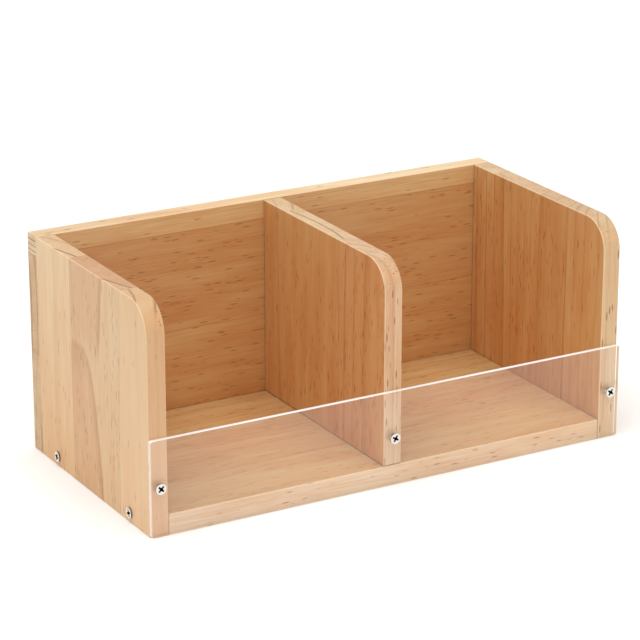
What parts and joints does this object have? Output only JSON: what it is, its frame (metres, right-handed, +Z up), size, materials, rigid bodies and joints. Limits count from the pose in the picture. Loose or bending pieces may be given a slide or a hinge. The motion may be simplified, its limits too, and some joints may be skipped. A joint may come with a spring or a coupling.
{
  "type": "cd rack",
  "caption": "Open wooden desktop rack that holds disc cases upright in side-by-side bays, with rounded uprights and a clear guard screwed across the lower front.",
  "frame": {"origin": "middle of the rack's box, on the surface that it stands on", "axes": "+X to the right along the back panel, +Y from the clear guard to the back panel, +Z up"},
  "size_m": [0.342, 0.1728, 0.147],
  "materials": {
    "pine_side": "satin clear lacquer on edge-glued pine, grain upright",
    "pine_long": "satin clear lacquer on edge-glued pine, grain along the rack",
    "clear_acrylic": "clear, with polished edges",
    "plated_steel": "bright nickel plate"
  },
  "bodies": {
    "root": {"left_side": "pine_side", "right_side": "pine_side", "centre_divider": "pine_side", "back_panel": "pine_long", "bottom_board": "pine_long", "front_guard": "clear_acrylic", "guard_screws": "plated_steel", "left_side_screws": "plated_steel", "right_side_screws": "plated_steel", "back_screws": "plated_steel", "divider_foot_screws": "plated_steel"}
  },
  "joints": []
}
